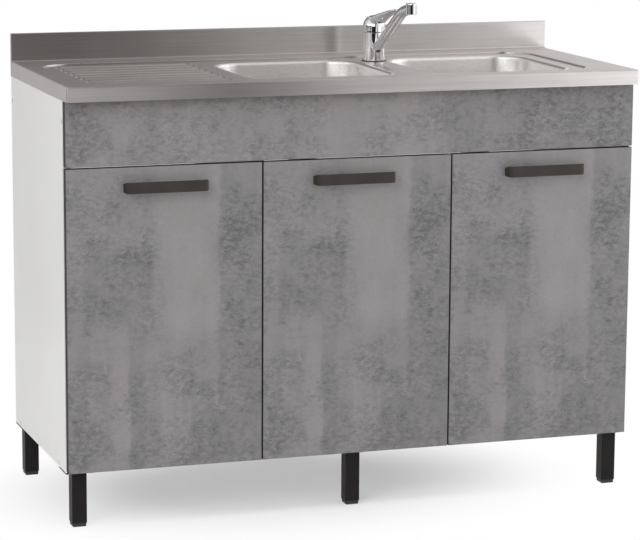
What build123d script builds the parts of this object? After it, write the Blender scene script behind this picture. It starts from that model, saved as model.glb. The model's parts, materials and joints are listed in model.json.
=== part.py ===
from build123d import *
import math
import os

# A kitchen sink unit: a white board carcass on six square steel legs, three doors and a false front,
# and a lay-on double-bowl sink with a drainer and a lever mixer tap. Millimetres, Z up. The origin is
# on the floor, in the middle of the whole unit's width and depth. +X runs along the unit, to the
# right of someone who stands at it, and the doors face -Y.

# ---- driving dimensions -------------------------------------------------------------------------

unit_width = 1200.0  # sink deck, over its folded edges
deck_depth = 500.0  # front fold to the back of the splash
deck_top = 880.0  # height of the deck's rim
deck_edge = 30.0  # height of the folded edge
deck_overhang = 22.0  # front fold ahead of the doors' faces
deck_corner = 3.0
fold_round = 2.5
splash_rise = 58.7
splash_depth = 10.0
splash_hem = 12.0
sheet = 1.0  # stainless steel sheet

board = 16.0  # carcass board
door_thick = 18.0
door_gap = 3.0  # between fronts
front_inset = 1.0  # fronts inside the carcass's sides
front_reveal = 2.0  # fronts inside the carcass's top and bottom
false_front_height = 127.0
bumper_gap = 2.0  # closed doors stand off the carcass by this
false_front_fixings = (500.0, 170.0)  # its screws from the middle
front_rail_height = 122.0
rear_rail_height = 100.0
low_rail_height = 80.0
partition_drop = 8.0  # partition's top below the front rail

leg_tube = 30.0
leg_wall = 1.5
leg_length = 101.0
leg_plate = 60.0
leg_plate_thick = 3.0
leg_inset = 12.0  # tube's face inside the carcass's side
foot_height = 8.0
foot_width = 28.0
foot_thread = 4.0  # radius
foot_plug = 22.0  # height of the tube's threaded plug
foot_travel = 12.0

recess_left = 40.0  # margins of the sunk area from the deck's edges
recess_right = 80.0
recess_front = 45.0
recess_back = 75.0
recess_corner = 60.0
recess_depth = 4.0
rib_pitch = 44.0
rib_width = 14.0
rib_height = 2.5
rib_inset = 25.0  # ribs' outer ends from the sunk area's edge
rib_to_bowl = 35.0

bowl_width = 320.0
bowl_drop = 150.0
bowl_corner = 65.0
bowl_floor_round = 27.0
bowl_taper = 2.5  # degrees
bowl_flange = 6.0
bowl_gap = 62.0  # between the two bowls
bowl_front = 65.0  # bowls' front edge from the deck's front
bowl_back = 110.0  # bowls' back edge from the deck's back
bowl_right = 28.0  # right bowl's edge from the sunk area's
fold_margin = 14.0  # deck's fold and splash are a node of their own from here out
batten_gap = 2.0  # battens from the bowls' flanges, front
batten_side_gap = 12.0
batten_lap = 15.0  # left batten under the sunk area

waste_neck = 20.0  # outer radius
waste_wall = 1.5
waste_lip = 35.0  # radius
waste_lip_thick = 2.0
neck_length = 24.0
cup_socket = 26.0  # waste cup below the neck
pipe_radius = 20.0
pipe_wall = 2.0
pipe_drop = 86.0  # waste pipe's axis below the bowls' floors
pipe_bend = 32.0
union_radius = 25.0  # threaded ends that the nuts close
nut_wall = 5.0
nut_lap = 3.0  # nut's collar past the threaded end
nut_height = 22.0
trap_radius = 32.0
trap_bottom = 500.0
trap_top = 612.0
trap_neck = 24.0  # threaded end above the trap's body
tail_clear = 30.0  # tail pipe's end above the trap's bottom
outlet_height = 560.0
outlet_collar = 8.0  # outlet's collar from the trap's wall
outlet_inset = 4.0  # outlet's mouth inside the unit's back

tap_hole = 17.5  # radius
tap_core = 17.0
tap_radius = 23.0
tap_behind = 40.0  # tap's axis ahead of the bowls' back edge
tap_offset = 7.0  # tap's axis to the right of the middle between the bowls
tap_turn = 7.6  # degrees the spout stands turned from straight ahead
gasket_radius = 25.5
gasket_thick = 2.0
collar_height = 26.0
spout_reach = 166.0
spout_rise = 108.0  # from the collar's middle to the head's
spout_tube = 11.2
spout_level = 38.0  # the arm's last stretch, which runs flatter into the head
spout_bend = 60.0
head_radius = 11.7
head_length = 22.5
head_wall = 1.2
aerator_height = 8.0
ball_height = 74.0  # centre of the lever's ball above the sunk area
ball_radius = 19.0
shoulder_drop = 12.0  # body's shoulder below the ball's centre
dome_inner = 20.0
dome_back = 2.5  # dome's edge below the ball's centre
dome_front = 11.0
spindle_radius = 1.5
eye_boss = 3.6
stem_radius = 2.5
ear_inner = 3.1  # fork's ears from the middle
ear_outer = 5.6
lever_reach = 101.0
lever_tip = 119.5  # height of the lever's tip above the sunk area
lever_width = 20.0
ball_open = 12.0  # ball's open top above its centre
cartridge_radius = 12.5
cartridge_drop = 34.0  # cartridge's bottom below the ball's centre
cartridge_length = 26.0
fork_radius = 9.0
fork_neck = 7.6
fork_drop = 9.0  # fork's shoulder below the ball's centre
fork_depth = 5.0
hose_radius = 5.0
hose_depth = 12.0
hose_spacing = 17.0
stud_radius = 4.0
stud_offset = 11.5
stud_in = 15.0  # stud inside the body
stud_out = 35.0
stud_nut = 6.5
clamp_radius = 20.4
clamp_thick = 3.0

handle_length = 168.0
handle_spacing = 160.0
handle_height = 22.0
handle_reach = 26.0
handle_bar = 5.0
handle_below = 38.0  # handle's centre below the door's top
handle_shift = 11.0  # middle handle's centre to the left of its door's
handle_round = 8.0
handle_inner_round = 5.0
handle_bite = 12.0  # holes for the handle's screws

hinge_inset = 90.0  # hinges' centres from the door's ends
pin_radius = 1.0
pin_length = 13.6
cup_radius = 17.5
cup_wall = 1.0
cup_floor = 3.6  # cup's bottom behind the door's face
cup_centre = 21.5  # from the door's hinge edge
cup_flange = 18.6  # radius
cup_ear = 24.0  # cup's screws above and below its centre
ear_half = 6.0
cup_bottom = 0.6  # thickness of the cup's bottom
pivot_in = 6.4  # hinge axis from the door's hinge edge
pivot_back = 6.3  # hinge axis behind the door's face
strap = 1.6  # thickness of the hinge arm
eye_radius = 1.9
arm_leg = 21.0  # arm's leg from the door's hinge edge
arm_half = 3.2  # half the arm's height inside the cup
arm_half_wide = 8.0
arm_turn = 26.0  # the arm is wide from here back
plate_start = 36.0  # mounting plate behind the doors' faces
plate_end = 76.0
plate_screw = 57.0
plate_wing = 2.0
wing_high = 24.0  # wings above and below the plate's centre
wing_half = 9.0
wing_screw = 16.0  # wing's screws above and below its centre
arm_screw = 5.5  # arm's screw in the plate

screw_radius = 2.0
screw_head = 3.8
screw_head_high = 2.0
ear_head = 1.5  # heads on the hinge cups' ears
joiner_radius = 3.5  # the screws through the side panels
joiner_head = 5.0
joiner_length = 50.0
joiner_sink = 2.0  # depth of the joiner's head
joiner_play = 2.0  # bore past the screw's tip
pilot = 12.0  # depth of a wood screw in a board
tip_play = 1.0  # free depth at a screw's tip

fit = 0.05  # fixed and turning fits, on the radius
gap = 0.3  # between bodies that move past each other

# ---- lines that the pieces share ----------------------------------------------------------------

back = (deck_depth - deck_overhang + handle_reach) / 2
front_face = handle_reach - back  # the doors' faces
door_back = front_face + door_thick
carcass_front = door_back + bumper_gap
deck_front = back - deck_depth
splash_face = back - splash_depth
splash_top = deck_top + splash_rise

carcass_out = unit_width / 2 - sheet
carcass_in = carcass_out - board
carcass_bottom = foot_height + leg_length + leg_plate_thick
carcass_floor = carcass_bottom + board
carcass_top = deck_top - deck_edge
rail_bottom = carcass_top - front_rail_height

front_out = carcass_out - front_inset
false_front_top = carcass_top - front_reveal
false_front_bottom = false_front_top - false_front_height
door_top = false_front_bottom - door_gap
door_bottom = carcass_bottom + front_reveal
door_width = (2 * front_out - 2 * door_gap) / 3
partition_x = door_width + door_gap / 2 - front_out

recess_x = (recess_left - recess_right) / 2
recess_y = (deck_front + recess_front + back - recess_back) / 2
recess_width = unit_width - recess_left - recess_right
recess_length = deck_depth - recess_front - recess_back
recess_floor = deck_top - recess_depth
pan = recess_floor - sheet  # underside of the sunk area

right_bowl_x = recess_x + recess_width / 2 - bowl_right - bowl_width / 2
left_bowl_x = right_bowl_x - bowl_width - bowl_gap
bowl_length = deck_depth - bowl_front - bowl_back
bowl_y = deck_front + bowl_front + bowl_length / 2
bowl_floor = recess_floor - bowl_drop
rib_start = recess_x - recess_width / 2 + rib_inset
rib_end = left_bowl_x - bowl_width / 2 - rib_to_bowl
rib_count = int((bowl_length - rib_width) / rib_pitch) + 1

tap_x = (left_bowl_x + right_bowl_x) / 2 + tap_offset
tap_y = bowl_y + bowl_length / 2 - tap_behind
ball_centre = recess_floor + ball_height

leg_columns = (leg_inset + leg_tube / 2 - carcass_out, 0.0, carcass_out - leg_inset - leg_tube / 2)
plate_columns = (leg_plate / 2 - carcass_out, 0.0, carcass_out - leg_plate / 2)
leg_rows = (carcass_front + leg_tube / 2, back - leg_tube / 2)
plate_rows = (carcass_front + leg_plate / 2, back - leg_plate / 2)
plate_hole = leg_plate / 2 - board / 2
plate_holes = [
    (x + plate_hole * i, y + plate_hole * j)
    for x in plate_columns for y in plate_rows for i in (-1, 1) for j in (-1, 1)
]

# Each door's hinge edge, the way into the cabinet from it, and the board that carries the hinges.
hinge_lines = (
    (-front_out, 1, -carcass_in),
    (door_width + door_gap - front_out, 1, partition_x + board / 2),
    (front_out, -1, carcass_in),
)
hinge_heights = (door_bottom + hinge_inset, door_top - hinge_inset)
wing_heights = [z + d for z in hinge_heights for d in (-wing_screw, wing_screw)]

# ---- helpers ------------------------------------------------------------------------------------


def save(piece, name):
    """Labels a finished piece and writes it."""
    piece.part.label = name
    export_step(piece.part, f"parts/{name}.step")


def block(low, high, mode=Mode.ADD):
    """A board between two opposite corners."""
    with Locations(low):
        size = [h - l for l, h in zip(low, high)]
        Box(*size, align=(Align.MIN, Align.MIN, Align.MIN), mode=mode)


def bores(seat, points, radius, depth):
    """Round holes from the seat plane; a negative depth runs against its normal."""
    with BuildSketch(seat) as mouths:
        with Locations(*points):
            Circle(radius)
    extrude(mouths.sketch, amount=depth, mode=Mode.SUBTRACT)


def pegs(seat, points, radius, length):
    """Round pegs from the seat plane; a negative length runs against its normal."""
    with BuildSketch(seat) as ends:
        with Locations(*points):
            Circle(radius)
    extrude(ends.sketch, amount=length)


def turned(plane, outline):
    """A solid turned about the plane's upright axis, from (radius, height) points."""
    with BuildSketch(plane) as half:
        with BuildLine():
            Polyline(*outline, close=True)
        make_face()
    revolve(half.sketch, axis=Axis(plane.origin, (0, 0, 1)))


def upright(x, y, z=0.0):
    """The front view's plane through a point, for outlines turned about the upright axis there."""
    return Plane(origin=(x, y, z), x_dir=(1, 0, 0), z_dir=(0, -1, 0))


os.makedirs("parts", exist_ok=True)

# ---- carcass ------------------------------------------------------------------------------------

# Joiner screws of a side panel, as (y, z): into the front rail, the rear rail and the bottom.
joiners = (
    (door_back + board / 2, carcass_top - front_rail_height / 3),
    (back - board / 2, carcass_top - rear_rail_height / 2),
    (carcass_front + leg_plate, carcass_bottom + board / 2),
    (back - 0.75 * leg_plate, carcass_bottom + board / 2),
)
joiner_bore = joiner_length - board + joiner_play


def hinge_pilots(inner_face, inward):
    """Holes for the hinge plates' screws in a board's face."""
    points = [(front_face + plate_screw, z) for z in wing_heights]
    bores(Plane.YZ.offset(inner_face), points, screw_radius + fit, -inward * (pilot - plate_wing))


for name, side in (("left_side", -1), ("right_side", 1)):
    with BuildPart() as panel:
        inner, outer = sorted((side * carcass_in, side * carcass_out))
        block((inner, carcass_front, carcass_bottom), (outer, back, carcass_top))
        bores(Plane.YZ.offset(side * carcass_out), joiners, joiner_radius + fit, -side * board)
        bores(Plane.YZ.offset(side * carcass_out), joiners, joiner_head + fit, -side * joiner_sink)
        hinge_pilots(side * carcass_in, -side)
        edge_holes = [p for p in plate_holes if side * p[0] > carcass_in]
        bores(Plane.XY.offset(carcass_bottom), edge_holes, screw_radius + fit, pilot)
    save(panel, name)

with BuildPart() as bottom_panel:
    block((-carcass_in, carcass_front, carcass_bottom), (carcass_in, back, carcass_floor))
    for side in (-1, 1):
        bores(Plane.YZ.offset(side * carcass_in), joiners[2:], joiner_radius + fit, -side * joiner_bore)
    floor_holes = [p for p in plate_holes if abs(p[0]) < carcass_in]
    bores(Plane.XY.offset(carcass_bottom), floor_holes, screw_radius + fit, pilot)
save(bottom_panel, "bottom_panel")

with BuildPart() as partition:
    with BuildSketch(Plane.YZ.offset(partition_x - board / 2)):
        with BuildLine():
            Polyline(
                (carcass_front, carcass_floor),
                (back - board, carcass_floor),
                (back - board, rail_bottom - partition_drop),
                (door_back + board, rail_bottom - partition_drop),
                (door_back + board, rail_bottom),
                (carcass_front, rail_bottom),
                close=True,
            )
        make_face()
    extrude(amount=board)
    hinge_pilots(partition_x + board / 2, 1)
save(partition, "partition")

false_front_screws = [
    (d * x, carcass_top - front_rail_height / 2) for x in false_front_fixings for d in (-1, 1)
]

with BuildPart() as front_rail:
    block((-carcass_in, door_back, rail_bottom), (carcass_in, door_back + board, carcass_top))
    for side in (-1, 1):
        bores(Plane.YZ.offset(side * carcass_in), joiners[:1], joiner_radius + fit, -side * joiner_bore)
    bores(Plane.XZ.offset(-door_back), false_front_screws, screw_radius + fit, -board)
save(front_rail, "front_rail")

with BuildPart() as rear_top_rail:
    block((-carcass_in, back - board, carcass_top - rear_rail_height), (carcass_in, back, carcass_top))
    for side in (-1, 1):
        bores(Plane.YZ.offset(side * carcass_in), joiners[1:2], joiner_radius + fit, -side * joiner_bore)
save(rear_top_rail, "rear_top_rail")

with BuildPart() as rear_bottom_rail:
    block((-carcass_in, back - board, carcass_floor), (carcass_in, back, carcass_floor + low_rail_height))
save(rear_bottom_rail, "rear_bottom_rail")

with BuildPart() as side_screws:
    for side in (-1, 1):
        pegs(Plane.YZ.offset(side * carcass_out), joiners, joiner_radius, -side * joiner_length)
        pegs(Plane.YZ.offset(side * carcass_out), joiners, joiner_head, -side * joiner_sink)
save(side_screws, "side_screws")

with BuildPart() as wood_screws:
    pegs(Plane.XY.offset(carcass_bottom), plate_holes, screw_radius, pilot)
    pegs(Plane.XY.offset(carcass_bottom), plate_holes, screw_radius, -leg_plate_thick)
    pegs(Plane.XY.offset(carcass_bottom - leg_plate_thick), plate_holes, screw_head, -screw_head_high)
    pegs(Plane.XZ.offset(-door_back - board), false_front_screws, screw_radius, board + pilot)
    pegs(Plane.XZ.offset(-door_back - board), false_front_screws, screw_head, -screw_head_high)
save(wood_screws, "wood_screws")

# ---- fronts -------------------------------------------------------------------------------------


def soften_front(piece):
    """Breaks the edges of a front's face."""
    chamfer(piece.faces().sort_by(Axis.Y)[0].edges(), length=0.8)


with BuildPart() as false_front:
    block((-front_out, front_face, false_front_bottom), (front_out, door_back, false_front_top))
    soften_front(false_front)
    bores(Plane.XZ.offset(-door_back), false_front_screws, screw_radius + fit, pilot)
save(false_front, "false_front")

door_names = (("left_door", 0.0), ("middle_door", handle_shift), ("right_door", 0.0))
for index, (name, shift) in enumerate(door_names):
    left = index * (door_width + door_gap) - front_out
    hinge_edge, inward, _ = hinge_lines[index]
    cup_x = hinge_edge + inward * cup_centre
    handle_x = left + door_width / 2 - shift
    handle_z = door_top - handle_below
    handle_points = [(handle_x + d * handle_spacing / 2, handle_z) for d in (-1, 1)]
    cup_points = [(cup_x, z) for z in hinge_heights]
    ear_points = [(cup_x, z + d * cup_ear) for z in hinge_heights for d in (-1, 1)]
    inside = Plane.XZ.offset(-door_back)

    with BuildPart() as door:
        block((left, front_face, door_bottom), (left + door_width, door_back, door_top))
        soften_front(door)
        bores(inside, handle_points, screw_radius + fit, door_thick)
        bores(inside, cup_points, cup_radius + fit, door_thick - cup_floor)
        bores(inside, ear_points, screw_radius + fit, pilot - sheet)
    save(door, name)

    with BuildPart() as handle:
        with BuildSketch(Plane.XY.offset(handle_z - handle_height / 2)) as bridge:
            with Locations((handle_x, front_face - handle_reach / 2)):
                Rectangle(handle_length, handle_reach)
            fillet(bridge.vertices().group_by(Axis.Y)[0], radius=handle_round)
            foot = handle_length - handle_spacing
            with BuildSketch(mode=Mode.SUBTRACT) as opening:
                with Locations((handle_x, front_face - (handle_reach - handle_bar) / 2)):
                    Rectangle(handle_length - 2 * foot, handle_reach - handle_bar)
                fillet(opening.vertices().group_by(Axis.Y)[0], radius=handle_inner_round)
        extrude(amount=handle_height)
        chamfer(handle.faces().filter_by(Axis.Z).edges(), length=0.6)
        bores(Plane.XZ.offset(-front_face), handle_points, screw_radius + fit, handle_bite)
    save(handle, name.replace("door", "handle"))

    with BuildPart() as door_screws:
        pegs(inside, handle_points, screw_radius, door_thick + handle_bite - tip_play)
        pegs(inside, handle_points, screw_head, -screw_head_high)
        pegs(inside, ear_points, screw_radius, pilot - sheet - tip_play)
        pegs(inside, ear_points, screw_radius, -sheet)
        pegs(inside.offset(-sheet), ear_points, screw_head, -ear_head)
    save(door_screws, f"{name}_screws")

    with BuildPart() as cups:
        pegs(inside, cup_points, cup_radius, door_thick - cup_floor)
        with BuildSketch(inside):
            with Locations(*cup_points):
                Circle(cup_flange)
                RectangleRounded(2 * ear_half, 2 * (cup_ear + ear_half), ear_half / 2)
        extrude(amount=-sheet)
        cup_deep = door_thick - cup_floor + sheet - cup_bottom
        bores(inside.offset(-sheet), cup_points, cup_radius - cup_wall, cup_deep)
        bores(inside.offset(-sheet), ear_points, screw_radius + fit, sheet)
        for z in hinge_heights:
            pivot = (hinge_edge + inward * pivot_in, front_face + pivot_back)
            bores(Plane.XY.offset(z - arm_half - gap), [pivot], eye_radius + gap, 2 * (arm_half + gap))
            pegs(Plane.XY.offset(z - pin_length / 2), [pivot], pin_radius, pin_length)
    save(cups, f"{name}_hinge_cups")

# The arm runs from its eye on the pin along the cup's floor, turns out of the cup through its mouth
# and lies on the mounting plate.
with BuildPart() as hinge_arms:
    for hinge_edge, inward, _ in hinge_lines:
        for z in hinge_heights:
            bottom = pivot_back - eye_radius
            with BuildSketch(Plane.XY.offset(z)):
                with BuildLine():
                    FilletPolyline(
                        *(
                            (hinge_edge + inward * x, front_face + y)
                            for x, y in (
                                (pivot_in, bottom),
                                (arm_leg + strap, bottom),
                                (arm_leg + strap, arm_turn),
                                (arm_leg, arm_turn),
                                (arm_leg, bottom + strap),
                                (pivot_in, bottom + strap),
                            )
                        ),
                        radius=0.7,
                        close=True,
                    )
                make_face()
                with Locations((hinge_edge + inward * pivot_in, front_face + pivot_back)):
                    Circle(eye_radius)
                    Circle(pin_radius + fit, mode=Mode.SUBTRACT)
            extrude(amount=arm_half, both=True)
            ends = sorted(hinge_edge + inward * (arm_leg + d) for d in (0, strap))
            block(
                (ends[0], front_face + arm_turn, z - arm_half_wide),
                (ends[1], front_face + plate_end + strap, z + arm_half_wide),
            )
            arm_point = [(front_face + plate_screw, z)]
            bores(Plane.YZ.offset(ends[0]), arm_point, screw_radius + fit, strap)
save(hinge_arms, "hinge_arms")

with BuildPart() as hinge_plates:
    for hinge_edge, inward, carrier in hinge_lines:
        for z in hinge_heights:
            top = hinge_edge + inward * arm_leg
            low, high = sorted((carrier, top))
            block(
                (low, front_face + plate_start, z - arm_half_wide),
                (high, front_face + plate_end, z + arm_half_wide),
            )
            low, high = sorted((carrier, carrier + inward * plate_wing))
            block(
                (low, front_face + plate_screw - wing_half, z - wing_high),
                (high, front_face + plate_screw + wing_half, z + wing_high),
            )
            wing_points = [(front_face + plate_screw, z + d) for d in (-wing_screw, wing_screw)]
            bores(Plane.YZ.offset(carrier), wing_points, screw_radius + fit, inward * plate_wing)
            arm_point = [(front_face + plate_screw, z)]
            bores(Plane.YZ.offset(top), arm_point, screw_radius + fit, -inward * arm_screw)
save(hinge_plates, "hinge_plates")

with BuildPart() as hinge_screws:
    for hinge_edge, inward, carrier in hinge_lines:
        for z in hinge_heights:
            wing_face = Plane.YZ.offset(carrier + inward * plate_wing)
            wing_points = [(front_face + plate_screw, z + d) for d in (-wing_screw, wing_screw)]
            pegs(wing_face, wing_points, screw_radius, -inward * (pilot - tip_play))
            pegs(wing_face, wing_points, screw_head, inward * screw_head_high)
            arm_face = Plane.YZ.offset(hinge_edge + inward * (arm_leg + strap))
            arm_point = [(front_face + plate_screw, z)]
            pegs(arm_face, arm_point, screw_radius, -inward * (strap + arm_screw - gap))
            pegs(arm_face, arm_point, screw_head, inward * screw_head_high)
save(hinge_screws, "hinge_screws")

# ---- legs ---------------------------------------------------------------------------------------

tube_inside = leg_tube - 2 * leg_wall

for column, place in zip((0, 1, 2), ("left", "centre", "right")):
    for row, end in ((0, "front"), (1, "rear")):
        foot_at = (leg_columns[column], leg_rows[row])
        plate_at = (plate_columns[column], plate_rows[row])

        with BuildPart() as leg:
            with BuildSketch(Plane.XY.offset(foot_height)):
                with Locations(foot_at):
                    RectangleRounded(leg_tube, leg_tube, 2)
                    RectangleRounded(tube_inside, tube_inside, 0.5, mode=Mode.SUBTRACT)
            extrude(amount=leg_length)
            with BuildSketch(Plane.XY.offset(foot_height + leg_length)):
                with Locations(plate_at):
                    Rectangle(leg_plate, leg_plate)
                    with GridLocations(2 * plate_hole, 2 * plate_hole, 2, 2):
                        Circle(screw_radius + gap, mode=Mode.SUBTRACT)
            extrude(amount=leg_plate_thick)
        save(leg, f"{end}_{place}_leg")

        with BuildPart() as foot:
            with BuildSketch():
                with Locations(foot_at):
                    RectangleRounded(foot_width, foot_width, 3)
            extrude(amount=foot_height - gap)
            chamfer(foot.faces().sort_by(Axis.Z)[0].edges(), length=1.5)
            stem = foot_plug + foot_travel
            pegs(Plane.XY.offset(foot_height - gap), [foot_at], foot_thread, stem)
        save(foot, f"{end}_{place}_foot")

with BuildPart() as leg_plugs:
    with BuildSketch(Plane.XY.offset(foot_height)):
        with Locations(*((x, y) for x in leg_columns for y in leg_rows)):
            RectangleRounded(tube_inside - 2 * fit, tube_inside - 2 * fit, 0.6)
            Circle(foot_thread + fit, mode=Mode.SUBTRACT)
    extrude(amount=foot_plug)
save(leg_plugs, "leg_plugs")

# ---- sink ---------------------------------------------------------------------------------------

bowl_places = (left_bowl_x, right_bowl_x)

# One pressed sheet: a tray with three folded edges, the boxed splash-back, the sunk area, the ribs.
with BuildPart() as pressed:
    with BuildSketch(Plane.XY.offset(carcass_top)):
        with Locations((0, (deck_front + splash_face) / 2)):
            Rectangle(unit_width, splash_face - deck_front)
    extrude(amount=deck_edge)
    fillet(pressed.edges().filter_by(Axis.Z).group_by(Axis.Y)[0], radius=deck_corner)
    fillet(pressed.faces().sort_by(Axis.Z)[-1].edges().sort_by(Axis.Y)[:-1], radius=fold_round)
    open_faces = [pressed.faces().sort_by(Axis.Z)[0], pressed.faces().sort_by(Axis.Y)[-1]]
    offset(amount=-sheet, openings=open_faces)

    with BuildSketch(Plane.YZ.offset(-unit_width / 2)):
        with BuildLine():
            FilletPolyline(
                (splash_face - 12, deck_top),
                (splash_face, deck_top),
                (splash_face, splash_top),
                (back, splash_top),
                (back, splash_top - splash_hem),
                radius=(4, 1.5, 1.5),
            )
            offset(amount=sheet, side=Side.RIGHT)
        make_face()
    extrude(amount=unit_width)
    for x in (-unit_width / 2, unit_width / 2 - sheet):
        with BuildSketch(Plane.YZ.offset(x)) as end_cap:
            with Locations((splash_face, carcass_top)):
                Rectangle(splash_depth, splash_top - carcass_top, align=(Align.MIN, Align.MIN))
            fillet(end_cap.vertices().group_by(Axis.Y)[-1], radius=1.5)
        extrude(amount=sheet)

    with BuildSketch(Plane.XY.offset(pan)):
        with Locations((recess_x, recess_y)):
            RectangleRounded(recess_width + 2 * sheet, recess_length + 2 * sheet, recess_corner + sheet)
    extrude(amount=recess_depth)
    with BuildSketch(Plane.XY.offset(recess_floor)):
        with Locations((recess_x, recess_y)):
            RectangleRounded(recess_width, recess_length, recess_corner)
    extrude(amount=recess_depth, mode=Mode.SUBTRACT)
    rim_edges = pressed.edges().filter_by_position(Axis.Z, deck_top - 0.01, deck_top + 0.01)
    inner_rim = rim_edges.filter_by_position(Axis.Y, deck_front + 10, back - recess_back + 0.1)
    fillet(inner_rim.filter_by_position(Axis.X, 5 - unit_width / 2, unit_width / 2 - 5), radius=1.5)

    for height, shrink, mode in ((recess_floor, 0, Mode.ADD), (pan, sheet, Mode.SUBTRACT)):
        with BuildSketch(Plane.XY.offset(height)):
            with Locations(((rib_start + rib_end) / 2, bowl_y)):
                with GridLocations(0, rib_pitch, 1, rib_count):
                    SlotOverall(rib_end - rib_start - shrink, rib_width - shrink)
        extrude(amount=rib_height, taper=35, mode=mode)

    with BuildSketch(Plane.XY.offset(pan)):
        with Locations(*((x, bowl_y) for x in bowl_places)):
            RectangleRounded(bowl_width, bowl_length, bowl_corner)
        with Locations((tap_x, tap_y)):
            Circle(tap_hole)
    extrude(amount=recess_depth, mode=Mode.SUBTRACT)

# The folded edge and the splash-back are of the same sheet as the deck, a node of their own.
folds = (
    (fold_margin - unit_width / 2, deck_front + fold_margin, pan - sheet),
    (unit_width / 2 - fold_margin, splash_face - fold_margin, splash_top),
)
with BuildPart() as sink_deck:
    add(pressed.part)
    block(*folds, mode=Mode.INTERSECT)
save(sink_deck, "sink_deck")

with BuildPart() as sink_edge:
    add(pressed.part)
    block(*folds, mode=Mode.SUBTRACT)
save(sink_edge, "sink_edge")


def bowl_form(mouth, out):
    """The bowl's tapered form below its mouth, out by a margin all round."""
    with BuildPart() as form:
        with BuildSketch(mouth):
            RectangleRounded(bowl_width + 2 * out, bowl_length + 2 * out, bowl_corner + out)
        extrude(amount=pan - bowl_floor + out, taper=bowl_taper)
        fillet(form.faces().sort_by(Axis.Z)[0].edges(), radius=bowl_floor_round + out)
    return form.part


for x, name in zip(bowl_places, ("left", "right")):
    mouth = Plane(origin=(x, bowl_y, pan), x_dir=(1, 0, 0), z_dir=(0, 0, -1))
    outside = bowl_form(mouth, sheet)
    inside = bowl_form(mouth, 0.0)

    with BuildPart() as bowl:
        lap = 2 * bowl_flange
        with BuildSketch(mouth):
            RectangleRounded(bowl_width + lap, bowl_length + lap, bowl_corner + bowl_flange)
        extrude(amount=sheet)
        add(outside)
        add(inside, mode=Mode.SUBTRACT)
        bores(Plane.XY.offset(bowl_floor), [(x, bowl_y)], waste_neck + fit, -2 * sheet)
    save(bowl, f"{name}_bowl")

batten_front = deck_front + bowl_front - bowl_flange - batten_gap
batten_back = bowl_y + bowl_length / 2 + batten_side_gap + bowl_flange
batten_left = recess_x - recess_width / 2 + batten_lap
batten_right = right_bowl_x + bowl_width / 2 + bowl_flange + batten_side_gap
with BuildPart() as sink_battens:
    block((-carcass_out, deck_front + sheet, carcass_top), (carcass_out, batten_front, pan))
    fillet(sink_battens.edges().filter_by(Axis.Z).group_by(Axis.Y)[0], radius=deck_corner)
    block((-carcass_out, batten_back, carcass_top), (carcass_out, back - sheet, pan))
    block((-carcass_out, batten_front, carcass_top), (batten_left, batten_back, pan))
    block((batten_right, batten_front, carcass_top), (carcass_out, batten_back, pan))
save(sink_battens, "sink_battens")

# ---- wastes -------------------------------------------------------------------------------------

neck_end = bowl_floor - neck_length
cup_end = neck_end - cup_socket
pipe_top = neck_end - 4
pipe_axis = bowl_floor - pipe_drop

with BuildPart() as waste_flanges:
    for x in bowl_places:
        inner = waste_neck - waste_wall
        turned(
            upright(x, bowl_y, bowl_floor),
            (
                (inner, -neck_length),
                (waste_neck, -neck_length),
                (waste_neck, 0),
                (waste_lip, 0),
                (waste_lip - 2, waste_lip_thick),
                (inner + 1.5, waste_lip_thick),
                (inner, waste_lip_thick - 1.5),
            ),
        )
        with BuildSketch(Plane.XY.offset(neck_end)):
            with Locations((x, bowl_y)):
                Rectangle(2 * inner + 1, 3)
                Rectangle(3, 2 * inner + 1)
        extrude(amount=2)
save(waste_flanges, "waste_flanges")

with BuildPart() as waste_cups:
    for x in bowl_places:
        top = bowl_floor - sheet
        turned(
            upright(x, bowl_y),
            (
                (0, top),
                (waste_lip - 2, top),
                (waste_lip - 2, top - 6),
                (union_radius, top - 14),
                (union_radius, cup_end),
                (0, cup_end),
            ),
        )
        bores(Plane.XY.offset(top), [(x, bowl_y)], waste_neck + fit, neck_end - top)
        bores(Plane.XY.offset(neck_end), [(x, bowl_y)], pipe_radius + fit, cup_end - neck_end)
save(waste_cups, "waste_cups")

# The left bowl's elbow and the run to the tee under the right bowl, whose tail dips into the trap.
with BuildPart() as waste_pipe:
    for radius, mode in ((pipe_radius, Mode.ADD), (pipe_radius - pipe_wall, Mode.SUBTRACT)):
        with BuildLine() as route:
            FilletPolyline(
                (left_bowl_x, bowl_y, pipe_top),
                (left_bowl_x, bowl_y, pipe_axis),
                (right_bowl_x, bowl_y, pipe_axis),
                radius=pipe_bend,
            )
        with BuildSketch(Plane(origin=(left_bowl_x, bowl_y, pipe_top), z_dir=(0, 0, -1))):
            Circle(radius)
        sweep(path=route.line, mode=mode)
        with BuildSketch(Plane.XY.offset(trap_bottom + tail_clear)):
            with Locations((right_bowl_x, bowl_y)):
                Circle(radius)
        extrude(amount=pipe_top - trap_bottom - tail_clear, mode=mode)
save(waste_pipe, "waste_pipe")

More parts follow.
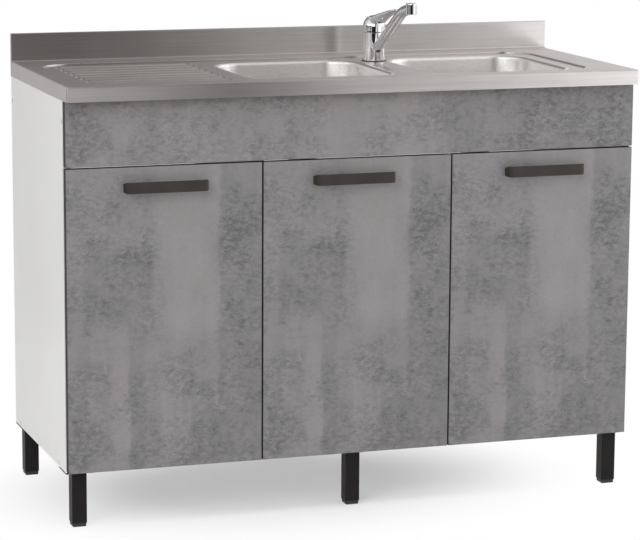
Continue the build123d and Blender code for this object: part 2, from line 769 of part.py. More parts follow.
with BuildPart() as trap:
    trap_at = [(right_bowl_x, bowl_y)]
    inner = trap_radius - pipe_wall
    body_top = trap_top - trap_neck
    turned(
        upright(right_bowl_x, bowl_y),
        (
            (0, trap_bottom),
            (trap_radius - 3, trap_bottom),
            (trap_radius, trap_bottom + 3),
            (trap_radius, body_top - 8),
            (union_radius, body_top),
            (union_radius, trap_top),
            (0, trap_top),
        ),
    )
    outlet = Plane.XZ.offset(-back + outlet_inset)
    outlet_at = [(right_bowl_x, outlet_height)]
    outlet_length = back - outlet_inset - bowl_y
    pegs(outlet, outlet_at, pipe_radius, outlet_length)
    pegs(Plane.XZ.offset(-bowl_y), outlet_at, union_radius, -trap_radius - outlet_collar)
    chamber = Plane.XY.offset(trap_bottom + pipe_wall)
    bores(chamber, trap_at, inner, body_top - 8 - pipe_wall - trap_bottom)
    bores(chamber, trap_at, pipe_radius + fit, trap_top - trap_bottom)
    bores(outlet, outlet_at, pipe_radius - pipe_wall, outlet_length - inner / 2)
save(trap, "trap")

# Nuts that close the cups' and the trap's threaded ends on the pipe.
with BuildPart() as union_nuts:
    for x, end, up in (
        (left_bowl_x, cup_end, 1),
        (right_bowl_x, cup_end, 1),
        (right_bowl_x, trap_top, -1),
    ):
        with BuildSketch(Plane.XY.offset(end - up * nut_lap)):
            with Locations((x, bowl_y)):
                RegularPolygon(union_radius + nut_wall, 12)
                Circle(pipe_radius + fit, mode=Mode.SUBTRACT)
        extrude(amount=up * nut_height)
        bores(Plane.XY.offset(end), [(x, bowl_y)], union_radius + fit, up * nut_height)
save(union_nuts, "union_nuts")

plug_seat = bowl_floor + waste_lip_thick
plug_radius = waste_neck - waste_wall - gap
for x, name in zip(bowl_places, ("left", "right")):
    with BuildPart() as plug:
        turned(
            upright(x, bowl_y, plug_seat + gap),
            (
                (0, -12),
                (plug_radius - 2, -12),
                (plug_radius, -3),
                (plug_radius, 0),
                (waste_neck + 6, 0),
                (waste_neck + 6, 1.5),
                (waste_neck + 4, 3),
                (3, 3),
                (3, 7),
                (7, 10),
                (7, 12),
                (5, 13),
                (0, 13),
            ),
        )
    save(plug, f"{name}_plug")

# ---- tap ----------------------------------------------------------------------------------------

turn = math.radians(tap_turn)
forward = Vector(math.sin(turn), -math.cos(turn), 0)
across = Vector(math.cos(turn), math.sin(turn), 0)
tap_foot = (tap_x, tap_y, recess_floor)
tap_plan = Plane(origin=tap_foot, x_dir=forward, z_dir=(0, 0, 1))
tap_side = Plane(origin=tap_foot, x_dir=forward, z_dir=-across)
tap_axis = Axis(tap_foot, (0, 0, 1))
tap_at = [(tap_x, tap_y)]
shoulder = ball_height - shoulder_drop
collar_bottom = gasket_thick + gap
collar_top = collar_bottom + collar_height

with BuildPart() as tap_gasket:
    with BuildSketch(Plane.XY.offset(recess_floor)):
        with Locations(tap_at[0]):
            Circle(gasket_radius)
            Circle(tap_core + fit, mode=Mode.SUBTRACT)
    extrude(amount=gasket_thick)
    chamfer(tap_gasket.faces().sort_by(Axis.Z)[-1].edges().sort_by(SortBy.RADIUS)[-1], length=0.8)
save(tap_gasket, "tap_gasket")

hose_points = [(tap_x + d * hose_spacing / 2, tap_y) for d in (-1, 1)]
stud_point = [(tap_x, tap_y - stud_offset)]
cartridge_bottom = ball_height - cartridge_drop
ball_cut = ball_height + ball_open

with BuildPart() as tap_body:
    low = math.sqrt(ball_radius**2 - shoulder_drop**2)
    high = math.sqrt(ball_radius**2 - (ball_cut - ball_height) ** 2)
    with BuildSketch(tap_side):
        with BuildLine():
            Polyline(
                (0, ball_cut), (0, -sheet), (tap_core, -sheet), (tap_core, collar_top + gap),
                (tap_radius, collar_top + gap), (tap_radius, shoulder - 1.5),
                (tap_radius - 1.5, shoulder), (low, shoulder),
            )
            ThreePointArc((low, shoulder), (ball_radius, ball_height), (high, ball_cut))
            Line((high, ball_cut), (0, ball_cut))
        make_face()
    revolve(axis=tap_axis)
    bore_depth = cartridge_bottom - ball_cut
    bores(Plane.XY.offset(recess_floor + ball_cut), tap_at, cartridge_radius + fit, bore_depth)
    bores(Plane.XY.offset(pan), hose_points, hose_radius, hose_depth)
    bores(Plane.XY.offset(pan), stud_point, stud_radius + fit, stud_in + tip_play)
save(tap_body, "tap_body")

# The collar turns on the body's core. The arm rises from it, clear of the body's shoulder, and ends
# in the upright head that holds the aerator.
with BuildPart() as spout:
    arm_start = (0, collar_bottom + collar_height / 2)
    head_middle = arm_start[1] + spout_rise
    with BuildLine(tap_side) as arm_line:
        bend_at = (spout_reach - spout_level, head_middle - spout_level / 4)
        FilletPolyline(arm_start, bend_at, (spout_reach, head_middle), radius=spout_bend)
    with BuildSketch(Plane(origin=arm_line.line @ 0, x_dir=across, z_dir=arm_line.line % 0)):
        Circle(spout_tube)
    sweep(path=arm_line.line)
    bores(Plane.XY.offset(recess_floor + collar_top), tap_at, tap_radius + gap, shoulder)
    bores(Plane.XY.offset(recess_floor), tap_at, tap_radius + gap, collar_bottom)
    with BuildSketch(Plane.XY.offset(recess_floor + collar_bottom)):
        with Locations(tap_at[0]):
            Circle(tap_radius)
    extrude(amount=collar_height)
    bores(Plane.XY.offset(recess_floor), tap_at, tap_core + fit, collar_top + gap)
    head_top = head_middle + head_length / 2
    with BuildSketch(tap_plan.offset(head_top)):
        with Locations((spout_reach, 0)):
            Circle(head_radius)
    extrude(amount=-head_length)
    fillet(spout.faces().sort_by(Axis.Z)[-1].edges(), radius=3)
    head_bottom = head_top - head_length
    bores(tap_plan.offset(head_bottom), [(spout_reach, 0)], head_radius, -spout_tube)
    bores(tap_plan.offset(head_bottom), [(spout_reach, 0)], head_radius - head_wall, aerator_height)
save(spout, "spout")

with BuildPart() as aerator:
    with BuildSketch(tap_plan.offset(head_bottom - 1)):
        with Locations((spout_reach, 0)):
            Circle(head_radius - head_wall - fit)
            with PolarLocations(5, 8):
                Circle(1.2, mode=Mode.SUBTRACT)
    extrude(amount=aerator_height)
save(aerator, "aerator")

with BuildPart() as cartridge:
    with BuildSketch(Plane.XY.offset(recess_floor + cartridge_bottom)):
        with Locations(tap_at[0]):
            Circle(cartridge_radius)
    extrude(amount=cartridge_length)
    bores(Plane.XY.offset(ball_centre - fork_drop), tap_at, fork_neck, sheet)
    bores(Plane.XY.offset(ball_centre - fork_drop), tap_at, fork_radius, -fork_depth)
save(cartridge, "cartridge")

# The fork turns in the cartridge and carries the lever's spindle across the ball's centre.
with BuildPart() as cartridge_fork:
    fork_seat = Plane.XY.offset(ball_centre - fork_drop - fork_depth + 2 * fit)
    pegs(fork_seat, tap_at, fork_radius - fit, fork_depth - 4 * fit)
    for side in (-1, 1):
        with BuildSketch(tap_side.offset(side * ear_inner)):
            with Locations((0, ball_height)):
                Circle(4)
            with Locations((0, ball_height - 5)):
                Rectangle(8, 10)
        extrude(amount=side * (ear_outer - ear_inner))
    with BuildSketch(tap_side):
        with Locations((0, ball_height)):
            Circle(spindle_radius)
    extrude(amount=ear_outer + gap, both=True)
save(cartridge_fork, "cartridge_fork")

with BuildPart() as lever:
    dome_top = ball_height + tap_radius - 0.3
    with BuildSketch(tap_side):
        with BuildLine():
            Polyline(
                (0, ball_height + 12),
                (0, dome_top),
                (9, dome_top),
                (lever_reach, lever_tip),
                (lever_reach, lever_tip - 4.5),
                (tap_radius - 1, ball_height + 8),
                close=True,
            )
        make_face()
    extrude(amount=lever_width / 2, both=True)
    tip = lever_reach - 2
    with BuildSketch(tap_plan):
        with BuildLine():
            Polyline((tip, -8), (0, -lever_width / 2), (0, lever_width / 2), (tip, 8))
            ThreePointArc((tip, 8), (lever_reach, 0), (tip, -8))
        make_face()
    extrude(amount=lever_tip + 10, mode=Mode.INTERSECT)
    long_edges = lever.edges().filter_by(lambda edge: edge.length > 20)
    fillet(long_edges.filter_by(lambda edge: edge.center().Z > ball_centre + 14), radius=1.5)
    for radius, mode in ((tap_radius, Mode.ADD), (dome_inner, Mode.SUBTRACT)):
        with BuildSketch(tap_side):
            with BuildLine():
                low = ball_height - shoulder_drop
                Polyline((0, ball_height + radius), (0, low), (radius, low), (radius, ball_height))
                middle = radius * math.sqrt(0.5)
                ends = ((radius, ball_height), (0, ball_height + radius))
                ThreePointArc(ends[0], (middle, ball_height + middle), ends[1])
            make_face()
        revolve(axis=tap_axis, mode=mode)
    with BuildSketch(tap_side):
        with BuildLine():
            slope = (dome_front - dome_back) / 2
            Polyline(
                (-2 * tap_radius, ball_height - dome_back + slope),
                (2 * tap_radius, ball_height - dome_front - slope),
                (2 * tap_radius, 0),
                (-2 * tap_radius, 0),
                close=True,
            )
        make_face()
    extrude(amount=2 * tap_radius, both=True, mode=Mode.SUBTRACT)
    with BuildSketch(tap_side):
        with Locations((0, ball_height)):
            Circle(eye_boss)
    extrude(amount=ear_inner - 0.2, both=True)
    pegs(Plane.XY.offset(ball_centre + 1), tap_at, stem_radius, dome_inner)
    with BuildSketch(tap_side):
        with Locations((0, ball_height)):
            Circle(spindle_radius + fit)
    extrude(amount=ear_outer, both=True, mode=Mode.SUBTRACT)
save(lever, "lever")

with BuildPart() as tap_stud:
    pegs(Plane.XY.offset(pan), stud_point, stud_radius, stud_in)
    pegs(Plane.XY.offset(pan), stud_point, stud_radius, -stud_out)
save(tap_stud, "tap_stud")

with BuildPart() as tap_clamp:
    with BuildSketch(Plane.XY.offset(pan - clamp_thick)):
        with Locations(tap_at[0]):
            Circle(clamp_radius)
        slot_half = hose_spacing / 2 + hose_radius + 0.8
        with Locations((tap_x, tap_y - hose_radius - 0.8)):
            slot_align = (Align.CENTER, Align.MIN)
            Rectangle(2 * slot_half, 2 * clamp_radius, align=slot_align, mode=Mode.SUBTRACT)
        with Locations(stud_point[0]):
            Circle(stud_radius + fit, mode=Mode.SUBTRACT)
    extrude(amount=clamp_thick)
save(tap_clamp, "tap_clamp")

with BuildPart() as tap_nut:
    with BuildSketch(Plane.XY.offset(pan - clamp_thick)):
        with Locations(stud_point[0]):
            RegularPolygon(stud_nut + sheet, 6)
            Circle(stud_radius + fit, mode=Mode.SUBTRACT)
    extrude(amount=-stud_nut)
save(tap_nut, "tap_nut")
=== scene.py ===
# %% [markdown]
# # The looks of a kitchen sink unit
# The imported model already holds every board, door, fitting and steel pressing at its true place. This
# lesson loads it as a fixed frame, sets up the photographer's camera and a plain studio, and then
# gives each finish its own procedural material. Where the real form is softer than the frame's, a
# surface worked out with numpy takes the node's place.

# %% Load the frame
import json
import math

import bmesh
import bpy
import numpy as np
from mathutils import Matrix, Vector


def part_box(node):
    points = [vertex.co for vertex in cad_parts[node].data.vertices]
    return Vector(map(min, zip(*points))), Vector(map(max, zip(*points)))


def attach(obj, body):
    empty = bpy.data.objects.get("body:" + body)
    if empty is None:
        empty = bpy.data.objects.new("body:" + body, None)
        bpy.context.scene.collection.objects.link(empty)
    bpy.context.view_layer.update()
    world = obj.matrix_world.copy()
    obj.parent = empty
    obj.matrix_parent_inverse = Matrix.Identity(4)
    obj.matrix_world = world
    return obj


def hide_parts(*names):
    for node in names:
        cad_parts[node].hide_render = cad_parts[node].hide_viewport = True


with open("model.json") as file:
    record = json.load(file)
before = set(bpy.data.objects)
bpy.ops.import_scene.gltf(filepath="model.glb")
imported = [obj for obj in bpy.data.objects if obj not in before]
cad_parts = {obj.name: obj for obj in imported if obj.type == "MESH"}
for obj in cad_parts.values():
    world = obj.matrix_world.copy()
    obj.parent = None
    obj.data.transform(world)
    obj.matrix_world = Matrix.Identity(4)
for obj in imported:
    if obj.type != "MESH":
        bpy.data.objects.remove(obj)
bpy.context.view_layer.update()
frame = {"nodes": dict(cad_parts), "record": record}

# %% [markdown]
# ## Camera
# The photograph was taken with a long lens from the front left. The camera's place, about 0.6 m above
# the deck, was solved from the unit's own corners. A look-at constraint would be easier to read, but a
# small roll was left in the photograph, so the camera's three axes are worked out and set as a matrix.

# %% Camera
FOCAL_PIXELS, PICTURE_WIDTH, SENSOR = 2701.8, 640, 36.0
YAW, PITCH, ROLL = (math.radians(a) for a in (18.690, 10.238, 0.343))
CAMERA_PLACE = Vector((-1.7833, -5.2613, 1.4555))

ahead = Vector((math.sin(YAW) * math.cos(PITCH), math.cos(YAW) * math.cos(PITCH), -math.sin(PITCH)))
level_right = ahead.cross(Vector((0, 0, 1))).normalized()
level_up = level_right.cross(ahead)
right = level_right * math.cos(ROLL) + level_up * math.sin(ROLL)
up = level_up * math.cos(ROLL) - level_right * math.sin(ROLL)

camera = bpy.data.objects.new("camera", bpy.data.cameras.new("camera"))
bpy.context.scene.collection.objects.link(camera)
camera.data.sensor_width = SENSOR
camera.data.lens = FOCAL_PIXELS * SENSOR / PICTURE_WIDTH
camera.data.clip_end = 100
camera.matrix_world = Matrix.Translation(CAMERA_PLACE) @ Matrix((right, up, -ahead)).transposed().to_4x4()
bpy.context.scene.camera = camera
print("lens", round(camera.data.lens, 1), "mm")

# %% [markdown]
# ## Node helpers
# Every finish below is a small graph of shader nodes. Building such a graph takes the same three
# moves each time: make a node, set its own properties, and feed its sockets with numbers or with
# other nodes' outputs. One helper does all three, so each material reads as a short recipe.

# %% Node helpers
def node(tree, kind, inputs=(), **settings):
    """Adds a shader node; inputs maps sockets to a number, a colour or another node's output."""
    made = tree.nodes.new("ShaderNode" + kind)
    for key, value in settings.items():
        setattr(made, key, value)
    for key, value in dict(inputs).items():
        if isinstance(value, bpy.types.NodeSocket):
            tree.links.new(value, made.inputs[key])
        else:
            made.inputs[key].default_value = value
    return made


def sums(tree, how, a, b=0.5):
    """One step of arithmetic between two sockets or numbers, clamped to 0...1."""
    return node(tree, "Math", {0: a, 1: b}, operation=how, use_clamp=True).outputs[0]


def ramp(tree, factor, *stops):
    """Turns a factor into a grey or a colour, through (place, value) stops."""
    made = node(tree, "ValToRGB", {0: factor})
    while len(made.color_ramp.elements) < len(stops):
        made.color_ramp.elements.new(1.0)
    for element, (place, value) in zip(made.color_ramp.elements, stops):
        element.position = place
        element.color = (*value, 1) if isinstance(value, tuple) else (value, value, value, 1)
    return made.outputs[0]


def weighed(tree, start, *shares):
    """A start value plus each socket times its weight."""
    total = start
    for socket, weight in shares:
        inputs = {0: socket, 1: weight, 2: total}
        total = node(tree, "Math", inputs, operation="MULTIPLY_ADD").outputs[0]
    return total


def blend_colours(tree, factor, a, b):
    """Mixes two colours by a factor."""
    inputs = {0: factor, 6: a, 7: b}
    return node(tree, "Mix", inputs, data_type="RGBA").outputs[2]


def noise(tree, where, scale, detail=3.0, rough=0.5, warp=0.0):
    """A cloud of noise, scale per metre."""
    inputs = {"Vector": where, "Scale": scale, "Detail": detail, "Roughness": rough, "Distortion": warp}
    return node(tree, "TexNoise", inputs).outputs["Fac"]


def place_on_object(tree, shift=(0, 0, 0), stretch=(1, 1, 1)):
    """The point's place on the object, shifted and then stretched."""
    where = node(tree, "TexCoord").outputs["Object"]
    return node(tree, "Mapping", {0: where, 1: shift, 3: stretch}).outputs[0]


def finish_named(name, **constants):
    """A new material; its shader's constant sockets are set from the keywords."""
    material = bpy.data.materials.new(name)
    material.use_nodes = True
    surface = material.node_tree.nodes["Principled BSDF"]
    for socket, value in constants.items():
        surface.inputs[socket.replace("_", " ")].default_value = value
    return material, material.node_tree, surface


def bump(tree, surface, height, strength, depth):
    """Raises the surface by a height map, depth in metres."""
    inputs = {"Height": height, "Strength": strength, "Distance": depth}
    tree.links.new(node(tree, "Bump", inputs).outputs[0], surface.inputs["Normal"])


def wear(node_name, material):
    """Gives a frame node one material for all its slots."""
    mesh = frame["nodes"][node_name].data
    mesh.materials.clear()
    mesh.materials.append(material)
    mesh.polygons.foreach_set("material_index", np.zeros(len(mesh.polygons), dtype=np.int32))


NODES_OF_SLOT = {}
for part in frame["record"]["subparts"]:
    NODES_OF_SLOT.setdefault(part["material_slot"], []).append(part["node"])
print({slot: len(names) for slot, names in NODES_OF_SLOT.items()})

# %% [markdown]
# ## Studio
# The floor and the world look white, and the world lights the unit at about half that strength. The
# floor is lit by the lamps and keeps the unit's soft shadow. A share of it glows for the camera, for
# reflections and through glass only, so that it doesn't light the unit from below. The glow is weaker
# near the unit, where the shadow lies, and full farther out.

# %% World and floor
def seen_directly(tree):
    """1 for rays of the camera, of reflections and of glass, else 0."""
    path = node(tree, "LightPath").outputs
    seen = sums(tree, "MAXIMUM", path["Is Camera Ray"], path["Is Glossy Ray"])
    return sums(tree, "MAXIMUM", seen, path["Is Transmission Ray"])


AMBIENT = 0.52
world = bpy.data.worlds.new("studio")
world.use_nodes = True
bpy.context.scene.world = world
sky = world.node_tree.nodes["Background"]
lift = node(world.node_tree, "Math", {0: seen_directly(world.node_tree), 1: 1 - AMBIENT, 2: AMBIENT},
            operation="MULTIPLY_ADD").outputs[0]
sky.inputs["Color"].default_value = (1, 1, 1, 1)
world.node_tree.links.new(lift, sky.inputs["Strength"])

FLOOR_HALF, FLOOR_GREY = 14.0, 0.76
SHADOW_REACH = (0.50, 0.34)  # half the area that keeps the shadow, and how softly it ends
SHADOW_SHIFT, SHADOW_STRETCH = (0.08, 0, 0), (0.70, 1.0, 1.0)
NEAR_GLOW = 0.38
floor_mesh = bpy.data.meshes.new("floor")
corners = [(x * FLOOR_HALF, y * FLOOR_HALF, 0) for x, y in ((-1, -1), (1, -1), (1, 1), (-1, 1))]
floor_mesh.from_pydata(corners, [], [(0, 1, 2, 3)])
floor = bpy.data.objects.new("floor", floor_mesh)
bpy.context.scene.collection.objects.link(floor)

floor_colour = (FLOOR_GREY, FLOOR_GREY, FLOOR_GREY, 1)
material, tree, surface = finish_named("floor", Base_Color=floor_colour, Roughness=1.0,
                                       Specular_IOR_Level=0.0)
glow = node(tree, "Emission", {"Color": (1, 1, 1, 1), "Strength": 1.0}).outputs[0]
where = place_on_object(tree, SHADOW_SHIFT, SHADOW_STRETCH)
far = node(tree, "VectorMath", {0: where}, operation="LENGTH").outputs["Value"]
inputs = {0: far, 1: SHADOW_REACH[0] - SHADOW_REACH[1], 2: SHADOW_REACH[0], 3: NEAR_GLOW, 4: 1.0}
fade = node(tree, "MapRange", inputs, interpolation_type="SMOOTHSTEP").outputs[0]
share = sums(tree, "MULTIPLY", seen_directly(tree), fade)
shown = node(tree, "MixShader", {0: share, 1: surface.outputs[0], 2: glow}).outputs[0]
tree.links.new(shown, tree.nodes["Material Output"].inputs["Surface"])
floor_mesh.materials.append(material)
print("floor", 2 * FLOOR_HALF, "m square")

# %% [markdown]
# ## Lamps
# Three wide lamps, at the left, at the right and above, give the boards an even light without hard
# edges. Reflections don't see them, because their outlines would show in the steel.

# %% Lamps
def lamp(name, place, target, size, power):
    """A soft square lamp of that size in metres and power in watts, which faces a target."""
    light = bpy.data.lights.new(name, "AREA")
    light.size, light.energy = size, power
    thing = bpy.data.objects.new(name, light)
    thing.location = place
    thing.rotation_euler = (Vector(target) - Vector(place)).to_track_quat("-Z", "Y").to_euler()
    thing.visible_glossy = False
    bpy.context.scene.collection.objects.link(thing)


UNIT_MIDDLE, UNIT_UPPER_PART = (0, 0, 0.5), (0, 0, 0.8)
lamp("left_lamp", (-3.2, -3.0, 2.8), UNIT_MIDDLE, 2.2, 92)
lamp("right_lamp", (3.4, -0.6, 1.9), UNIT_UPPER_PART, 1.0, 40)
lamp("top_lamp", (0.3, -0.6, 3.6), UNIT_MIDDLE, 2.4, 55)

# %% [markdown]
# ## Cards for the steel
# Steel shows nothing but its surroundings. In the photograph the front fold and the splash-back run
# from dark at the left to almost white at the right, with a few bands between. A picture of a room
# could give that, but panels whose glow runs through shades of grey are simpler to place and to
# change. Only reflections see them, so the boards' light stays even. Rays traced from the camera say
# which card does what: the front fold mirrors the middle card in front, the side fold and the right
# of the deck mirror the back card, and the left of the deck mirrors the splash-back, which mirrors the
# high card in front.

# %% Cards for the steel
def standing(start, end, bottom, top):
    """The corners of an upright panel between two places on the ground."""
    return [(*start, bottom), (*end, bottom), (*end, top), (*start, top)]


def lying_flat(left, right, front, back, height):
    """The corners of a level panel."""
    return [(left, front, height), (right, front, height), (right, back, height), (left, back, height)]


def card(name, corners, grey_of, axis="X"):
    """A panel that only reflections see; its glow runs through (place, grey) stops along an axis."""
    mesh = bpy.data.meshes.new(name)
    mesh.from_pydata(corners, [], [(0, 1, 2, 3)])
    thing = bpy.data.objects.new(name, mesh)
    bpy.context.scene.collection.objects.link(thing)
    for ray in ("camera", "diffuse", "shadow", "transmission", "volume_scatter"):
        setattr(thing, "visible_" + ray, False)
    low, high = grey_of[0][0], grey_of[-1][0]
    brightest = max(grey for _, grey in grey_of)
    material = bpy.data.materials.new(name)
    material.use_nodes = True
    tree = material.node_tree
    where = node(tree, "SeparateXYZ", {0: node(tree, "TexCoord").outputs["Object"]}).outputs[axis]
    along = node(tree, "MapRange", {0: where, 1: low, 2: high}).outputs[0]
    stops = [((place - low) / (high - low), grey / brightest) for place, grey in grey_of]
    glow = node(tree, "Emission", {"Color": ramp(tree, along, *stops), "Strength": brightest})
    tree.links.new(glow.outputs[0], tree.nodes["Material Output"].inputs["Surface"])
    mesh.materials.append(material)


FRONT, BACK, FAR, CEILING = -3, 1.6, 5, 5
LEFT_WALL, RIGHT_SIDE = -3.2, 2.3
GROUND, LOW, MIDDLE, LEFT_TOP = 0.01, 0.45, 0.95, 1.25
LOW_GREYS = ((-5.0, 0.10), (-0.4, 0.16), (-0.12, 2.2), (0.05, 2.2), (0.08, 0.02), (0.45, 0.02),
             (0.68, 0.66), (0.95, 1.45), (1.25, 0.62), (1.9, 2.9), (5.0, 3.4))
MIDDLE_GREYS = ((-5.0, 0.03), (-3.3, 0.03), (-3.1, 0.8), (-2.8, 0.8), (-2.6, 0.02), (0.50, 0.02),
                (0.8, 0.75), (1.3, 0.55), (1.9, 1.3), (5.0, 1.6))
HIGH_GREYS = ((-5.0, 0.5), (-3.4, 1.9), (-0.6, 1.9), (-0.25, 0.3), (0.15, 0.12), (0.8, 0.2), (1.1, 0.7),
              (2.0, 1.2), (5.0, 1.3))
BACK_GREYS = ((-4.0, 0.8), (-0.95, 0.65), (-0.7, 0.22), (0.35, 0.25), (0.8, 0.55), (1.6, 0.85), (4.0, 1.1))
TOP_GREYS = ((-5.0, 1.2), (-0.6, 0.75), (0.2, 0.62), (1.0, 0.66), (2.5, 1.0), (5.0, 1.3))
SIDE_GREYS = ((0.95, 2.6), (2.2, 1.6))
LEFT_HIGH_GREYS = ((1.25, 1.8), (2.6, 1.2))
LEFT_GREYS = ((-3.0, 0.5), (-2.4, 0.5), (-2.3, 0.03), (-1.5, 0.03), (-1.4, 0.9), (-1.1, 0.9), (-1.0, 0.04),
              (-0.4, 0.04), (-0.3, 0.8), (0.0, 0.8), (0.1, 0.05), (1.6, 0.05))
front_left, front_right = (-FAR, FRONT), (FAR, FRONT)
card("front_low_card", standing(front_left, front_right, 0, LOW), LOW_GREYS)
card("ground_card", lying_flat(-FAR, FAR, FRONT, -0.7, GROUND), LOW_GREYS)
card("front_middle_card", standing(front_left, front_right, LOW, MIDDLE), MIDDLE_GREYS)
card("front_high_card", standing(front_left, front_right, MIDDLE, CEILING), HIGH_GREYS)
card("back_card", standing((-4, BACK), (4, BACK), 0, CEILING), BACK_GREYS)
card("top_card", lying_flat(-FAR, FAR, FRONT, BACK, CEILING), TOP_GREYS)
card("side_card", standing((RIGHT_SIDE, -1.6), (RIGHT_SIDE, 0.9), MIDDLE, 2.2), SIDE_GREYS, "Z")
card("left_high_card", standing((LEFT_WALL, FRONT), (LEFT_WALL, 0.6), LEFT_TOP, 2.6), LEFT_HIGH_GREYS, "Z")
card("left_card", standing((LEFT_WALL, FRONT), (LEFT_WALL, BACK), 0, LEFT_TOP), LEFT_GREYS, "Y")

# %% [markdown]
# ## Surfaces worked out with numpy
# A bent strip, a shell or a horn-shaped blade is a closed ring carried along a line. Each is worked
# out as one grid of points, row after row of rings, and the two end rings are closed with a fan.

# %% Closed grids
SHARP_FROM = math.radians(40)


def grid_quads(rows, around):
    """Face (i, j) joins point j and the next one of ring i to the same two of ring i + 1."""
    i, j = np.meshgrid(np.arange(rows - 1), np.arange(around), indexing="ij")
    after = (j + 1) % around
    this, following = i * around, (i + 1) * around
    return np.stack([this + j, this + after, following + after, following + j], -1).reshape(-1, 4).tolist()


def closed_grid(name, rings, body, replaced, material):
    """A closed skin through rings[i, j] (row i along the piece, j round it), with both ends capped."""
    rows, around = rings.shape[:2]
    points = np.concatenate([rings.reshape(-1, 3), rings[:1].mean(1), rings[-1:].mean(1)])
    first, last = rows * around, rows * around + 1
    k = np.arange(around)
    following = (k + 1) % around
    tail = (rows - 1) * around
    start_fan = np.stack([following, k, np.full(around, first)], -1)
    end_fan = np.stack([tail + k, tail + following, np.full(around, last)], -1)
    mesh = bpy.data.meshes.new(name)
    mesh.from_pydata(points.tolist(), [], grid_quads(rows, around) + start_fan.tolist() + end_fan.tolist())
    mesh.validate()
    outwards = bmesh.new()
    outwards.from_mesh(mesh)
    bmesh.ops.recalc_face_normals(outwards, faces=outwards.faces)
    outwards.to_mesh(mesh)
    outwards.free()
    mesh.polygons.foreach_set("use_smooth", np.ones(len(mesh.polygons), dtype=bool))
    mesh.set_sharp_from_angle(angle=SHARP_FROM)
    mesh.materials.append(material)
    piece = bpy.data.objects.new(name, mesh)
    bpy.context.scene.collection.objects.link(piece)
    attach(piece, body)
    if replaced:
        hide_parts(replaced)
    print(name, len(mesh.polygons), "faces, box", points.min(0).round(4), points.max(0).round(4))


def soft_square(turns, power):
    """Points of a rounded square of half size 1: sign(cos) |cos|^(2/power), and the same with sin."""
    c, s = np.cos(turns), np.sin(turns)
    return np.sign(c) * np.abs(c) ** (2 / power), np.sign(s) * np.abs(s) ** (2 / power)


def eased(t):
    """0 below 0, 1 above 1 and 3t^2 - 2t^3 between."""
    t = np.clip(t, 0, 1)
    return t * t * (3 - 2 * t)


# %% [markdown]
# ## Concrete-look laminate
# The fronts wear a printed paper under a matt resin: a grey that is smooth and light in the middle
# of each door and mottled at its sides and its foot, with a few upright streaks like those of
# shuttered concrete. Each door shows the same print, so one recipe is shifted to each door's edge.
# Soft regions, given one by one, say where the print is mottled, darker or paler, and noise makes
# its grain. The sawn edges of the boards are dark, and darker still as painted shade of the gaps
# between the doors; the direction that a face looks in finds them.

# %% Soft regions
def between(tree, value, low, high, soft):
    """1 between low and high, falling smoothly to 0 over the soft width outside them."""
    smooth = {"interpolation_type": "SMOOTHSTEP"}
    up = node(tree, "MapRange", {0: value, 1: low - soft, 2: low}, **smooth).outputs[0]
    down = node(tree, "MapRange", {0: value, 1: high + soft, 2: high}, **smooth).outputs[0]
    return sums(tree, "MULTIPLY", up, down)


# %% Laminate
WANDER = (0.045, 0, 0.16)  # the range over which the soft regions' outlines stray, in metres
# Dark board edge colour, darkened further as painted shade of the gaps between the doors.
BOARD_EDGE_AND_GAP_SHADE = (0.035, 0.032, 0.033, 1)
TONES = ((0.0, (0.305, 0.287, 0.290)), (0.35, (0.240, 0.225, 0.228)), (0.6, (0.188, 0.182, 0.186)),
         (1.0, (0.104, 0.102, 0.106)))


